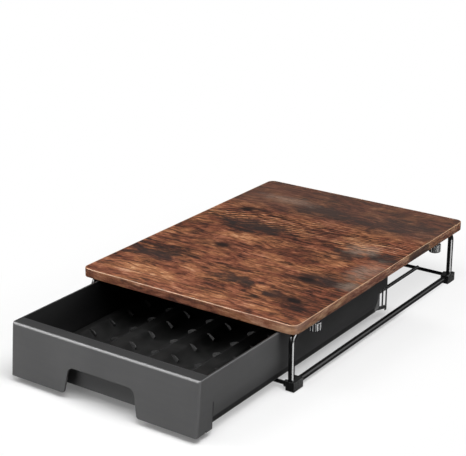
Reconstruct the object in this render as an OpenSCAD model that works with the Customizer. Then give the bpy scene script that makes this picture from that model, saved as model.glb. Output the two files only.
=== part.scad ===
// Coffee pod drawer: a board on a low tube stand, with a moulded drawer that slides on two rods.
// Millimetres, +Z up, +X to the right, the drawer opens towards -Y.
// The origin is on the floor, under the middle of the whole part with its drawer as it rests.

/* [Board] */
// Width of the board
board_w = 330; // [300:1:420]
// Depth of the board, front to back
board_d = 450; // [420:1:600]
// Thickness of the board
board_t = 12; // [11:0.5:25]
// Radius of the board's corners
board_corner_r = 10; // [4:0.5:14]
// Thickness of the band around the board's edge
edge_band_t = 1; // [0.5:0.1:2]

/* [Stand] */
// Height from the floor to the top of the board
stand_h = 90; // [84:1:130]
// How far the board reaches past the feet at the front
overhang_front = 5; // [3:0.5:15]
// How far the board reaches past the feet at the back
overhang_rear = 10; // [3:0.5:25]
// How far the board reaches past the feet at each side
overhang_side = 4; // [3:0.5:20]
// Outer diameter of the legs and side rails
tube_d = 8; // [7:0.5:9]
// Wall of the legs and side rails
tube_wall = 1.2; // [0.8:0.1:2]
// Radius of a leg's bend, at the middle of the tube
bend_r = 12; // [8:0.5:20]
// Distance from a leg to its thumb screw
screw_reach = 51; // [36:1:80]
// Diameter of the two cross rods
cross_rod_d = 5; // [4:0.5:6]
// Diameter of the two rods that the drawer slides on
slide_rod_d = 5; // [4:0.5:6]
// How far a slide rod lies in from the drawer's side
slide_rod_inset = 37; // [24:1:80]
// Height of the side rails and cross rods above the floor
rail_z = 7.6; // [7.2:0.1:12]
// How far the slide rods lie above the cross rods
slide_rod_rise = 1.8; // [1:0.1:2.4]

/* [Feet] */
// Wall of a foot outside its leg
foot_outer_wall = 3; // [1:0.5:4]
// Wall of a foot on its drawer side
foot_inner_wall = 1; // [0.8:0.1:2]
// Wall of a foot before its leg, and between the leg and the rail
foot_end_wall = 1; // [0.8:0.1:2]
// Depth of the socket that takes a side rail
rail_socket_l = 11; // [8:0.5:20]
// Cover of the foot over its side rail
foot_cover = 1.4; // [1:0.1:3]
// Height of the leg's lower end above the floor
leg_z = 3; // [2.5:0.1:4]
// Thickness of a rubber pad
pad_t = 1.5; // [1.2:0.1:2]
// How far a rubber pad stands out below its foot
pad_proud = 0.8; // [0.4:0.1:1]
// Edge of the foot left around its pad
pad_margin = 2; // [1.5:0.1:3]
// Diameter of the collar around a cross rod's end
collar_d = 9; // [8:0.5:10]
// Length of that collar
collar_l = 3.5; // [2:0.5:5]

/* [Thumb screws] */
// Diameter of the screw's knob
knob_d = 17; // [13:0.5:18]
// Height of the screw's knob
knob_h = 13; // [10:0.5:14]
// Number of grip flutes around a knob
knob_flutes = 16; // [8:1:20]
// Diameter of the grip flutes
flute_d = 1.6; // [1:0.1:2]
// Diameter of the screw
screw_d = 6; // [5:0.5:6]
// How deep the screw is moulded into its knob
screw_in_knob = 8; // [5:0.5:8.5]
// How deep the screw reaches into the board
screw_in_board = 8; // [5:0.5:8.5]
// Thickness of the washer on the screw
washer_t = 1.2; // [0.8:0.1:2]
// Diameter of that washer
washer_d = 14; // [12:0.5:16]
// Outer diameter of the threaded insert in the board
insert_d = 9; // [8:0.5:10]
// Length of the threaded insert
insert_l = 9.5; // [9:0.5:9.5]
// Thickness of the flattened end of a leg
tab_t = 3; // [2:0.5:3]
// Width of the flattened end of a leg
tab_w = 16; // [14:0.5:20]
// Gap between the knob and the round part of a leg's top bar
knob_room = 2; // [1:0.5:5]

/* [Drawer] */
// How far the drawer stands out of the stand as it rests
drawer_out = 157; // [20:1:380]
// Gap between the drawer and the legs at each side
drawer_side_gap = 9; // [6:0.5:15]
// Gap between the drawer's rim and the board
drawer_top_gap = 1.5; // [0.5:0.1:5]
// Space behind the closed drawer
drawer_rear_gap = 20.5; // [5:0.5:60]
// Wall of the moulded drawer
wall = 2.8; // [2.4:0.1:3.5]
// Radius of the rim's outer edges
rim_r = 1.2; // [0.5:0.1:2]
// Height of the straight band below the drawer's rim
band_h = 33.5; // [20:0.5:40]
// How far the side curves in between that band and the bottom
side_tuck = 4.5; // [2:0.1:6]
// Radius of the drawer's lower edges
bottom_r = 4; // [4:0.5:6]

/* [Drawer front] */
// How far the front leans out from its top to its lower edge
front_lean = 7; // [0:0.5:12]
// How much narrower the front is at its lower edge, at each side
front_draft = 0.8; // [0:0.1:2]
// Radius of the front's outer edges
front_edge_r = 3.5; // [2:0.1:4]
// How far the front reaches below the top of the cross rods
skirt_lap = 2.1; // [1:0.1:4]
// Depth of the front's side returns
return_l = 24; // [20:0.5:40]
// Depth of the grip space behind the front, at its top
grip_depth = 14.5; // [14:0.5:20]
// How far the wall behind the grip space leans out
grip_wall_lean = 3.5; // [0:0.5:5]
// Width of the finger notch at the lower edge
notch_w = 110; // [80:1:180]
// How much narrower the notch is at its top
notch_taper = 12; // [0:1:20]
// Height of the notch
notch_h = 34; // [20:0.5:40]
// Radius of the notch's upper corners
notch_r = 9; // [3:0.5:12]
// Radius of the notch's lower corners
notch_foot_r = 4; // [1:0.5:6]

/* [Drawer back] */
// Length of the cheeks behind the drawer's rear wall
cheek_l = 23; // [16:0.5:30]
// Wall of the cheeks
cheek_t = 1.6; // [1.2:0.1:2.4]
// Width of the bars between the slots in a cheek
cheek_bar = 2.5; // [2:0.1:4]
// Height of the bar below those slots
cheek_sill = 5; // [3:0.5:8]
// How far that bar rises from the stop nib to the rear wall
cheek_rise = 4; // [0:0.5:6]
// Length over which the curve of the drawer's side fades into the cheek
cheek_fair = 12; // [6:0.5:20]
// How far the stop nib reaches below the top of the cross rods
nib_lap = 1.1; // [0.8:0.1:2]
// Length of the stop nib
nib_l = 4; // [3:0.5:6]

/* [Runners] */
// Width of a guide rib beside a slide rod
rib_w = 2; // [1.5:0.1:3]
// Gap between a guide rib and its slide rod
rib_play = 0.6; // [0.3:0.1:1]
// How far the guide ribs stay above the cross rods
rib_clear = 0.4; // [0.3:0.1:0.6]

/* [Pod rack] */
// Diameter of a pod's rim
pod_d = 62; // [36:1:64]
// Smallest space between two lanes
lane_gap = 4; // [2:0.5:10]
// Distance from pod to pod along a lane
pod_pitch = 38; // [25:1:60]
// Angle at which the pods lean back
pod_lean = 20; // [10:1:35]
// Height of the rack
rack_h = 12; // [8:0.5:16]
// Wall of the rack
rack_wall = 1.6; // [1.2:0.1:2.4]
// Gap around the rack
rack_gap = 1; // [0.5:0.1:2]
// Height of the rests that hold a pod's rim
rest_h = 4; // [2:0.5:5]
// Thickness of those rests
rest_t = 1.6; // [1.2:0.1:2.4]
// Width left free between the two rests of a pod
rest_gap = 24; // [10:1:30]

/* [Hidden] */

$fn = 64;
fit = 0.1;          // how much wider a hole is than the piece that is pushed into it
slide_gap = 0.1;    // running gap between the drawer's bottom and the slide rods
stop_gap = 0.3;     // gap left between the closed drawer and the front cross rod
screw_play = 0.4;   // how much wider the holes in the leg's end and the washer are than the screw
eps = 0.5;          // how far a cut runs past the face it opens

// Stand, in a frame with Y = 0 at the board's front edge
under_board = stand_h - board_t;
foot_x = board_w / 2 - overhang_side;
foot_w = foot_outer_wall + tube_d + foot_inner_wall;
foot_l = 2 * foot_end_wall + tube_d + rail_socket_l;
foot_h = rail_z + tube_d / 2 + foot_cover;
leg_x = foot_x - foot_outer_wall - tube_d / 2;
leg_front_y = overhang_front + foot_end_wall + tube_d / 2;
leg_rear_y = board_d - overhang_rear - foot_end_wall - tube_d / 2;
mid_y = (leg_front_y + leg_rear_y) / 2;
leg_span = leg_rear_y - leg_front_y;
bar_z = under_board - tube_d / 2;
bar_l = screw_reach - knob_d / 2 - knob_room;
knob_top = under_board - tab_t - washer_t;
rod_top = rail_z + cross_rod_d / 2;
slide_rod_z = rail_z + slide_rod_rise;

// Drawer, in a frame with y = 0 at the upper edge of its front
drawer_w = 2 * (leg_x - tube_d / 2 - drawer_side_gap);
slide_rod_x = drawer_w / 2 - slide_rod_inset;
tray_bottom = slide_rod_z + slide_rod_d / 2 + slide_gap;
tray_top = under_board - drawer_top_gap;
band_z = tray_top - band_h;
skirt_z = rod_top - skirt_lap;
nib_z = rod_top - nib_lap;
closed_y = leg_front_y - cross_rod_d / 2 - stop_gap - return_l;
drawer_l = leg_rear_y - cross_rod_d / 2 - drawer_rear_gap - closed_y;
tray_l = drawer_l - cheek_l;
lean_angle = atan(front_lean / (tray_top - skirt_z));
grip_wall_angle = atan(grip_wall_lean / (tray_top - tray_bottom));
floor_z = tray_bottom + wall;

// The side's curve below the band: height, radius and middle, and where the flat bottom ends
tuck_h = band_z - tray_bottom;
tuck_r = (tuck_h * tuck_h + side_tuck * side_tuck) / (2 * side_tuck);
tuck_x = drawer_w / 2 - tuck_r;
bottom_rise = tuck_h - bottom_r;
bottom_x = tuck_x + sqrt((tuck_r - bottom_r) * (tuck_r - bottom_r) - bottom_rise * bottom_rise);

// Pod rack, on the drawer's floor
rack_w = 2 * (bottom_x - rack_gap);
rack_y0 = grip_depth + wall + rack_gap;
rack_l = tray_l - wall - rack_gap - rack_y0;
lanes = floor(rack_w / (pod_d + lane_gap));
lane_pitch = rack_w / lanes;
rows = floor(rack_l / pod_pitch);
trough_r = pod_d / 2 + 1;

// Where the stand's frame lies in the part's frame
board_front_y = (drawer_out + front_lean - board_d) / 2;

// Extrudes an outline drawn in X and Z from y0 to y1
module along_y(y0, y1) {
    translate([0, y1, 0])
        rotate([90, 0, 0])
            linear_extrude(y1 - y0)
                children();
}

// Extrudes an outline drawn in Y and Z from x0 to x1
module along_x(x0, x1) {
    translate([x0, 0, 0])
        rotate([90, 0, 90])
            linear_extrude(x1 - x0)
                children();
}

// A rod along X and a rod along Y, from their axes' ends
module rod_x(d, x0, x1) translate([x0, 0, 0]) rotate([0, 90, 0]) cylinder(d = d, h = x1 - x0);
module rod_y(d, y0, y1) translate([0, y0, 0]) rotate([-90, 0, 0]) cylinder(d = d, h = y1 - y0);

module in_stand() translate([0, board_front_y, 0]) children();
module in_drawer() in_stand() translate([0, -drawer_out, 0]) children();

// Puts what is drawn about the front right leg's axis at any of the four legs
module at_leg(side, end) {
    in_stand()
        translate([side * leg_x, mid_y - end * leg_span / 2, 0])
            mirror([side < 0 ? 1 : 0, 0, 0])
                mirror([0, end < 0 ? 1 : 0, 0])
                    children();
}

module at_all_legs() {
    for (side = [-1, 1])
        for (end = [-1, 1])
            at_leg(side, end)
                children();
}

module at_all_screws() at_all_legs() translate([0, screw_reach, 0]) children();

// Rounded rectangle about the board's middle, smaller by inset all round
module board_outline(inset) {
    r = board_corner_r - inset;
    w = board_w - 2 * inset;
    d = board_d - 2 * inset;
    translate([0, board_d / 2]) {
        square([w - 2 * r, d], center = true);
        square([w, d - 2 * r], center = true);
        for (x = [-1, 1])
            for (y = [-1, 1])
                translate([x * (w / 2 - r), y * (d / 2 - r)])
                    circle(r);
    }
}

module top_board() {
    color("#7a4a30")
        difference() {
            in_stand()
                translate([0, 0, under_board])
                    linear_extrude(board_t)
                        board_outline(edge_band_t);
            at_all_screws()
                translate([0, 0, under_board - eps])
                    cylinder(d = insert_d + fit, h = insert_l + eps);
        }
}

module edge_band() {
    color("#93603f")
        in_stand()
            translate([0, 0, under_board])
                linear_extrude(board_t)
                    difference() {
                        board_outline(0);
                        board_outline(edge_band_t);
                    }
}

module threaded_inserts() {
    color("#b59a52")
        at_all_screws()
            translate([0, 0, under_board])
                difference() {
                    cylinder(d = insert_d, h = insert_l);
                    translate([0, 0, -eps])
                        cylinder(d = screw_d + fit, h = insert_l + 2 * eps);
                }
}

// Upright, quarter bend and top bar of one leg, as a solid of diameter d
module leg_path(d, z0, y1) {
    translate([0, 0, z0])
        cylinder(d = d, h = bar_z - bend_r - z0);
    translate([0, bend_r, bar_z - bend_r])
        rotate([0, -90, 180])
            rotate_extrude(angle = 90)
                translate([bend_r, 0])
                    circle(d = d);
    translate([0, 0, bar_z])
        rod_y(d, bend_r, y1);
}

// Bent tube whose upper end is pressed flat to take the thumb screw
module leg() {
    color("#1c1c1e")
        difference() {
            union() {
                difference() {
                    leg_path(tube_d, leg_z, bar_l);
                    leg_path(tube_d - 2 * tube_wall, leg_z - eps, bar_l + eps);
                }
                translate([0, screw_reach, under_board - tab_t])
                    cylinder(d = tab_w, h = tab_t);
                translate([-tab_w / 2, bar_l - tab_w / 2, under_board - tab_t])
                    cube([tab_w, screw_reach - bar_l + tab_w / 2, tab_t]);
            }
            translate([0, screw_reach, under_board - tab_t - eps])
                cylinder(d = screw_d + screw_play, h = tab_t + 2 * eps);
        }
}

module front_left_leg() at_leg(-1, 1) leg();
module front_right_leg() at_leg(1, 1) leg();
module rear_left_leg() at_leg(-1, -1) leg();
module rear_right_leg() at_leg(1, -1) leg();

module side_rail(side) {
    rail_end = tube_d / 2 + foot_end_wall;
    color("#1c1c1e")
        in_stand()
            translate([side * leg_x, 0, rail_z])
                difference() {
                    rod_y(tube_d, leg_front_y + rail_end, leg_rear_y - rail_end);
                    rod_y(tube_d - 2 * tube_wall, leg_front_y, leg_rear_y);
                }
}

module left_side_rail() side_rail(-1);
module right_side_rail() side_rail(1);

// Rod from leg to leg, its ends cut to lie against the tubes
module cross_rod(y) {
    color("#161618")
        in_stand()
            difference() {
                translate([0, y, rail_z])
                    rod_x(cross_rod_d, -leg_x, leg_x);
                for (side = [-1, 1])
                    translate([side * leg_x, y, 0])
                        cylinder(d = tube_d, h = under_board);
            }
}

module front_cross_rod() cross_rod(leg_front_y);
module rear_cross_rod() cross_rod(leg_rear_y);

// Rod along the drawer's way, its ends cut to lie on the cross rods
module slide_rod(side) {
    color("#161618")
        in_stand()
            difference() {
                translate([side * slide_rod_x, 0, slide_rod_z])
                    rod_y(slide_rod_d, leg_front_y, leg_rear_y);
                for (y = [leg_front_y, leg_rear_y])
                    translate([0, y, rail_z])
                        rod_x(cross_rod_d, -leg_x, leg_x);
            }
}

module left_slide_rod() slide_rod(-1);
module right_slide_rod() slide_rod(1);

// Corner socket for a leg, a side rail and a cross rod, drawn about the leg's axis
module foot() {
    x0 = -tube_d / 2 - foot_inner_wall;
    y0 = -tube_d / 2 - foot_end_wall;
    color("#232325")
        difference() {
            union() {
                translate([x0, y0, pad_proud])
                    cube([foot_w, foot_l, foot_h - pad_proud]);
                translate([0, 0, rail_z])
                    rod_x(collar_d, x0 - collar_l, 0);
            }
            translate([0, 0, leg_z])
                cylinder(d = tube_d + fit, h = foot_h);
            translate([0, 0, rail_z])
                rod_y(tube_d + fit, tube_d / 2 + foot_end_wall, foot_l);
            translate([0, 0, rail_z])
                rod_x(cross_rod_d + fit, x0 - collar_l - eps, 0);
            pad(pad_margin - fit, pad_t + eps);
        }
}

// Rubber pad in the foot's underside
module pad(margin, h) {
    translate([-tube_d / 2 - foot_inner_wall + margin, -tube_d / 2 - foot_end_wall + margin, pad_t - h])
        cube([foot_w - 2 * margin, foot_l - 2 * margin, h]);
}

module front_left_foot() at_leg(-1, 1) foot();
module front_right_foot() at_leg(1, 1) foot();
module rear_left_foot() at_leg(-1, -1) foot();
module rear_right_foot() at_leg(1, -1) foot();

module rubber_pads() {
    color("#101010")
        at_all_legs()
            pad(pad_margin, pad_t);
}

module thumb_knobs() {
    color("#202022")
        at_all_screws()
            translate([0, 0, knob_top - knob_h])
                difference() {
                    cylinder(d = knob_d, h = knob_h);
                    translate([0, 0, knob_h - screw_in_knob])
                        cylinder(d = screw_d + fit, h = knob_h);
                    for (i = [1 : knob_flutes])
                        rotate([0, 0, i * 360 / knob_flutes])
                            translate([knob_d / 2 + flute_d / 4, 0, -eps])
                                cylinder(d = flute_d, h = knob_h + 2 * eps, $fn = 24);
                }
}

module screw_studs() {
    stud_z = knob_top - screw_in_knob;
    color("#a8a8a8")
        at_all_screws()
            translate([0, 0, stud_z])
                cylinder(d = screw_d, h = under_board + screw_in_board - stud_z);
}

module screw_washers() {
    color("#a8a8a8")
        at_all_screws()
            translate([0, 0, knob_top])
                difference() {
                    cylinder(d = washer_d, h = washer_t);
                    translate([0, 0, -eps])
                        cylinder(d = screw_d + screw_play, h = washer_t + 2 * eps);
                }
}

// Right half of the drawer's cross section below the band, its faces moved in by t
module lower_half(t) {
    reach = (tuck_r - t) / (tuck_r - bottom_r);
    touch_x = tuck_x + (bottom_x - tuck_x) * reach;
    touch_z = band_z - bottom_rise * reach;
    bottom_mid_z = tray_bottom + bottom_r;
    difference() {
        intersection() {
            translate([0, tray_bottom + t])
                square([drawer_w / 2, tuck_h - t]);
            translate([tuck_x, band_z])
                circle(tuck_r - t, $fn = 240);
        }
        polygon([
            [bottom_x, bottom_mid_z], [touch_x, touch_z], [drawer_w / 2, touch_z],
            [drawer_w / 2, tray_bottom], [bottom_x, tray_bottom]
        ]);
    }
    translate([bottom_x, bottom_mid_z])
        circle(bottom_r - t);
}

// Drawer's cross section: flat bottom, sides that curve in, and the straight band under the rim
module tray_outline() {
    lower_half(0);
    mirror([1, 0])
        lower_half(0);
    band_outline();
}

// The straight band, with its rim rounded
module band_outline() {
    translate([-drawer_w / 2, band_z])
        square([drawer_w, band_h - rim_r]);
    translate([-drawer_w / 2 + rim_r, band_z])
        square([drawer_w - 2 * rim_r, band_h]);
    for (side = [-1, 1])
        translate([side * (drawer_w / 2 - rim_r), tray_top - rim_r])
            circle(rim_r);
}

// The space inside that cross section
module hollow_outline() {
    lower_half(wall);
    mirror([1, 0])
        lower_half(wall);
    translate([-drawer_w / 2 + wall, band_z])
        square([drawer_w - 2 * wall, band_h + eps]);
}

// Cross section of the front: as wide as the band, a little narrower below it
module front_outline() {
    x_low = drawer_w / 2 - front_draft;
    polygon([
        [-x_low, skirt_z], [x_low, skirt_z],
        [drawer_w / 2, band_z], [-drawer_w / 2, band_z]
    ]);
    band_outline();
}

// How far in front of its upper edge a face that leans by angle a lies at height z
function lean_y(a, z) = -(tray_top - z) * tan(a);

// Side view of the front: leaning face, rounded upper edge, straight back
module front_profile() {
    mid = [front_edge_r * (1 / cos(lean_angle) - tan(lean_angle)), tray_top - front_edge_r];
    polygon([
        [-front_lean, skirt_z], [return_l, skirt_z], [return_l, tray_top], [mid.x, tray_top],
        mid + front_edge_r * [-cos(lean_angle), sin(lean_angle)]
    ]);
    translate(mid)
        circle(front_edge_r);
}

// Plan of the front with its upright edges rounded, leaning with the face
module leaning_plan() {
    w = drawer_w / 2 - front_edge_r;
    translate([0, 0, tray_top])
        rotate([-lean_angle, 0, 0])
            translate([0, 0, -2 * tray_top])
                linear_extrude(3 * tray_top) {
                    translate([-drawer_w / 2, front_edge_r])
                        square([drawer_w, drawer_l]);
                    translate([-w, 0])
                        square([2 * w, drawer_l]);
                    for (side = [-1, 1])
                        translate([side * w, front_edge_r])
                            circle(front_edge_r);
                }
}

// Side view of the box behind the front, from z0 to z1, its faces moved in by t
module box_profile(t, z0, z1) {
    y_top = grip_depth + t;
    polygon([
        [y_top + lean_y(grip_wall_angle, z0), z0], [tray_l - t, z0],
        [tray_l - t, z1], [y_top + lean_y(grip_wall_angle, z1), z1]
    ]);
}

// Space behind the front that the fingers reach into, open at the bottom
module grip_space() {
    w = drawer_w / 2 - front_draft - wall;
    z_low = skirt_z - eps;
    z_top = tray_top - wall;
    difference() {
        along_x(-w, w)
            polygon([
                [wall + lean_y(lean_angle, z_low), z_low], [return_l + eps, z_low],
                [return_l + eps, z_top], [wall + lean_y(lean_angle, z_top), z_top]
            ]);
        along_x(-drawer_w, drawer_w)
            box_profile(0, tray_bottom, tray_top);
    }
}

// Finger notch: sides that lean in, large upper corners, small lower ones
module notch_outline() {
    a = atan(notch_taper / 2 / notch_h);
    x0 = notch_w / 2;
    z1 = skirt_z + notch_h;
    // a corner of radius r whose middle is dz above the lower edge touches the side here
    function mid_x(r, dz) = x0 - dz * tan(a) - r / cos(a);
    up = [mid_x(notch_r, notch_h - notch_r), z1 - notch_r];
    low = [mid_x(-notch_foot_r, notch_foot_r), skirt_z + notch_foot_r];
    out = [cos(a), sin(a)];
    for (side = [-1, 1])
        scale([side, 1]) {
            polygon([
                [0, skirt_z - eps], [x0, skirt_z - eps], [x0, skirt_z],
                up + notch_r * out, [up.x, z1], [0, z1]
            ]);
            translate(up)
                circle(notch_r);
            difference() {
                polygon([[x0 - eps, skirt_z - eps], [low.x, skirt_z - eps], low, low - notch_foot_r * out]);
                translate(low)
                    circle(notch_foot_r);
            }
        }
}

// Height of a cheek's lower edge at a distance y behind the rear wall
function cheek_low(y) = tray_bottom + cheek_rise * (1 - y / (cheek_l - nib_l));

// Side view of a cheek below the band: its lower edge falls to the stop nib, two slots above it
module cheek_side() {
    slot_w = (cheek_l - 3 * cheek_bar) / 2;
    difference() {
        polygon([
            [0, cheek_low(0)], [cheek_l - nib_l, tray_bottom], [cheek_l - nib_l, nib_z],
            [cheek_l, nib_z], [cheek_l, band_z], [0, band_z]
        ]);
        for (i = [0, 1]) {
            y0 = cheek_bar + i * (slot_w + cheek_bar);
            y1 = y0 + slot_w;
            polygon([
                [y0, cheek_low(y0) + cheek_sill], [y1, cheek_low(y1) + cheek_sill],
                [y1, band_z], [y0, band_z]
            ]);
        }
    }
}

// Cheek behind the rear wall, and the fillet that joins it to the side where that curves in
module cheek() {
    x0 = drawer_w / 2 - side_tuck;
    along_y(tray_l - wall, drawer_l)
        intersection() {
            band_outline();
            translate([drawer_w / 2 - cheek_t, 0])
                square([cheek_t, tray_top]);
        }
    translate([0, tray_l, 0])
        along_x(drawer_w / 2 - cheek_t, drawer_w / 2)
            cheek_side();
    translate([0, tray_l, cheek_low(0)])
        linear_extrude(band_z - cheek_low(0))
            polygon([[x0, -cheek_fair], [drawer_w / 2, 0], [drawer_w / 2, cheek_bar], [x0, cheek_bar]]);
}

// Ribs under the floor, one on each side of a slide rod
module guide_ribs() {
    rib_x = slide_rod_d / 2 + rib_play;
    rib_z = rod_top + rib_clear;
    for (side = [-1, 1])
        for (edge = [-1, 1])
            translate([side * slide_rod_x + edge * (rib_x + rib_w / 2) - rib_w / 2, return_l, rib_z])
                cube([rib_w, tray_l - 2 * return_l, tray_bottom - rib_z + eps]);
}

module drawer_tray() {
    color("#4c4c4e")
        in_drawer()
            difference() {
                union() {
                    intersection() {
                        along_y(-front_lean - eps, return_l)
                            front_outline();
                        along_x(-drawer_w, drawer_w)
                            front_profile();
                        leaning_plan();
                    }
                    intersection() {
                        along_y(0, tray_l)
                            tray_outline();
                        along_x(-drawer_w, drawer_w)
                            box_profile(0, tray_bottom, tray_top);
                    }
                    cheek();
                    mirror([1, 0, 0])
                        cheek();
                    guide_ribs();
                }
                intersection() {
                    along_y(0, tray_l)
                        hollow_outline();
                    along_x(-drawer_w, drawer_w)
                        box_profile(wall, floor_z, tray_top + eps);
                }
                grip_space();
                along_y(-front_lean - eps, grip_depth - grip_wall_lean - wall)
                    notch_outline();
            }
}

// Cross section of the thin rack: one trough for each lane, ridges between them
module rack_outline() {
    difference() {
        translate([-rack_w / 2, 0])
            square([rack_w, rack_h]);
        lane_circles(trough_r);
        difference() {
            translate([-rack_w / 2 + rack_wall, -eps])
                square([rack_w - 2 * rack_wall, rack_h - rack_wall + eps]);
            lane_circles(trough_r + rack_wall);
        }
    }
}

module at_lanes() {
    for (i = [1 : lanes])
        translate([(i - (lanes + 1) / 2) * lane_pitch, 0])
            children();
}

module lane_circles(r) {
    at_lanes()
        translate([0, rack_wall + trough_r])
            circle(r, $fn = 96);
}

// Low leaning rests in the troughs, one at each side of a pod
module rim_rests() {
    intersection() {
        along_y(0, rack_l)
            difference() {
                lane_circles(trough_r + rack_wall / 2);
                lane_circles(trough_r - rest_h);
                at_lanes()
                    translate([-rest_gap / 2, -eps])
                        square([rest_gap, rack_h]);
            }
        translate([-rack_w / 2, 0, 0])
            cube([rack_w, rack_l, rack_h]);
        for (i = [1 : rows])
            translate([0, rack_l / 2 + (i - (rows + 1) / 2) * pod_pitch, 0])
                rotate([-pod_lean, 0, 0])
                    translate([-rack_w / 2, 0, -rack_h])
                        cube([rack_w, rest_t, 3 * rack_h]);
    }
}

module pod_rack() {
    color("#141414")
        in_drawer()
            translate([0, rack_y0, floor_z]) {
                along_y(0, rack_l)
                    rack_outline();
                rim_rests();
            }
}

top_board();
edge_band();
threaded_inserts();
front_left_leg();
front_right_leg();
rear_left_leg();
rear_right_leg();
left_side_rail();
right_side_rail();
front_cross_rod();
rear_cross_rod();
left_slide_rod();
right_slide_rod();
front_left_foot();
front_right_foot();
rear_left_foot();
rear_right_foot();
rubber_pads();
thumb_knobs();
screw_studs();
screw_washers();
drawer_tray();
pod_rack();
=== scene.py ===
import math

import bmesh
import bpy
import numpy as np
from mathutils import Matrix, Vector


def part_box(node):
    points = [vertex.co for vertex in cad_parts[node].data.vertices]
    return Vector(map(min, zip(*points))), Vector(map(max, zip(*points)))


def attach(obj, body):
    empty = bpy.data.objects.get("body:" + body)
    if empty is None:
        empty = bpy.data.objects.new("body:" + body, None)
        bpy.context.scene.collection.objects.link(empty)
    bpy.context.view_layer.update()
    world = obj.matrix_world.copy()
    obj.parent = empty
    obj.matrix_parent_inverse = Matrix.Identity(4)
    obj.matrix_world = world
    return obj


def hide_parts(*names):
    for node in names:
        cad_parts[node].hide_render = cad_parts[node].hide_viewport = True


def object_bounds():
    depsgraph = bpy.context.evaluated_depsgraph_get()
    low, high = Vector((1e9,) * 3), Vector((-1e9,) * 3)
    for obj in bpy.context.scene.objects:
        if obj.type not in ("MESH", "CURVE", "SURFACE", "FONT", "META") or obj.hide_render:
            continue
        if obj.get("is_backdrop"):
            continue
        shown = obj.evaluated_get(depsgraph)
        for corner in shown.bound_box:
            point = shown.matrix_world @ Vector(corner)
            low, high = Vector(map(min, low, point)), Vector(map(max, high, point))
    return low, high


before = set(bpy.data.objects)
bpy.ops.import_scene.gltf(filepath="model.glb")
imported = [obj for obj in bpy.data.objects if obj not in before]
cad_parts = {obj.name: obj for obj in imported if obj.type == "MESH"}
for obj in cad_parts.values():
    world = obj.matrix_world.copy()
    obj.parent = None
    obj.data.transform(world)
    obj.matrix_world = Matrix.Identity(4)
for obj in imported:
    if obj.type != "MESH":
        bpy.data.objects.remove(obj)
cadLow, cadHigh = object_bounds()
mm = 0.001
print("frame loaded:", len(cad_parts), "nodes")


class Value:
    # an output socket of a finish; + - * / **, > and abs() on it add Math nodes
    def __init__(self, finish, socket):
        self.finish = finish
        self.socket = socket

    def maths(self, operation, first, second=0.0):
        return self.finish.node("ShaderNodeMath", {"operation": operation}, {0: first, 1: second})

    def __add__(self, other):
        return self.maths("ADD", self, other)

    def __sub__(self, other):
        return self.maths("SUBTRACT", self, other)

    def __rsub__(self, other):
        return self.maths("SUBTRACT", other, self)

    def __mul__(self, other):
        return self.maths("MULTIPLY", self, other)

    def __truediv__(self, other):
        return self.maths("DIVIDE", self, other)

    def __pow__(self, other):
        return self.maths("POWER", self, other)

    def __gt__(self, other):
        return self.maths("GREATER_THAN", self, other)

    def __abs__(self):
        return self.maths("ABSOLUTE", self)

    def orMore(self, other):
        return self.maths("MAXIMUM", self, other)

    __radd__ = __add__
    __rmul__ = __mul__


class Finish:
    # the nodes of one material (or world), from the few kinds that this object needs
    def __init__(self, name, library=bpy.data.materials):
        self.owner = library.new(name)
        self.owner.use_nodes = True
        self.tree = self.owner.node_tree
        self.tree.nodes.clear()

    def node(self, kind, settings=None, inputs=None, output=0):
        made = self.tree.nodes.new(kind)
        for name, value in (settings or {}).items():
            if name == "stops":
                fillRamp(made.color_ramp, value)
            else:
                setattr(made, name, value)
        for name, value in (inputs or {}).items():
            if isinstance(value, Value):
                self.tree.links.new(value.socket, made.inputs[name])
            else:
                made.inputs[name].default_value = value
        return Value(self, made.outputs[output]) if made.outputs else None

    def place(self):
        return self.node("ShaderNodeTexCoord", output="Object")

    def facing(self):
        return self.node("ShaderNodeNewGeometry", output="Normal")

    def split(self, vector):
        # the x, y and z of a vector
        first = self.node("ShaderNodeSeparateXYZ", None, {0: vector})
        return [Value(self, socket) for socket in first.socket.node.outputs]

    def join(self, x, y, z):
        return self.node("ShaderNodeCombineXYZ", None, {0: x, 1: y, 2: z})

    def noise(self, vector, scale, detail=3.0, rough=0.5):
        return self.node("ShaderNodeTexNoise", None, {
            "Vector": vector, "Scale": scale, "Detail": detail, "Roughness": rough})

    def fade(self, value, start, end):
        # 0 before start, 1 after end, smooth between them; start may be the larger one
        return self.node("ShaderNodeMapRange", {"interpolation_type": "SMOOTHSTEP"},
                         {"Value": value, "From Min": start, "From Max": end})

    def within(self, value, rise, fall):
        # 1 between two fades, each from its first to its second number
        return self.fade(value, *rise) * self.fade(value, *fall)

    def mix(self, share, first, second):
        return self.node("ShaderNodeMix", {"data_type": "RGBA"},
                         {0: share, 6: first, 7: second}, output=2)

    def coats(self, colour, *layers):
        # each layer is a share and the colour that it brings over what lies below
        for share, coat in layers:
            colour = self.mix(share, colour, coat)
        return colour

    def ramp(self, value, places, tones):
        return self.node("ShaderNodeValToRGB", {"stops": list(zip(places, tones))}, {0: value})

    def bump(self, height, distance, strength):
        return self.node("ShaderNodeBump", None,
                         {"Height": height, "Distance": distance, "Strength": strength})

    def edges(self, radius):
        # 1 along sharp edges, 0 on open faces: how far the rounded normal leans from the plain one
        rounded = self.node("ShaderNodeBevel", {"samples": 4}, {"Radius": radius})
        match = self.node("ShaderNodeVectorMath", {"operation": "DOT_PRODUCT"},
                          {0: rounded, 1: self.facing()}, output="Value")
        return self.fade(match, 0.97, 0.8)

    def surface(self, colour, roughness, normal, shine=0.5, metal=0.0):
        shader = self.node("ShaderNodeBsdfPrincipled", None, {
            "Base Color": colour, "Roughness": roughness, "Normal": normal,
            "Specular IOR Level": shine, "Metallic": metal})
        self.node("ShaderNodeOutputMaterial", None, {"Surface": shader})
        return self.owner


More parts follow.
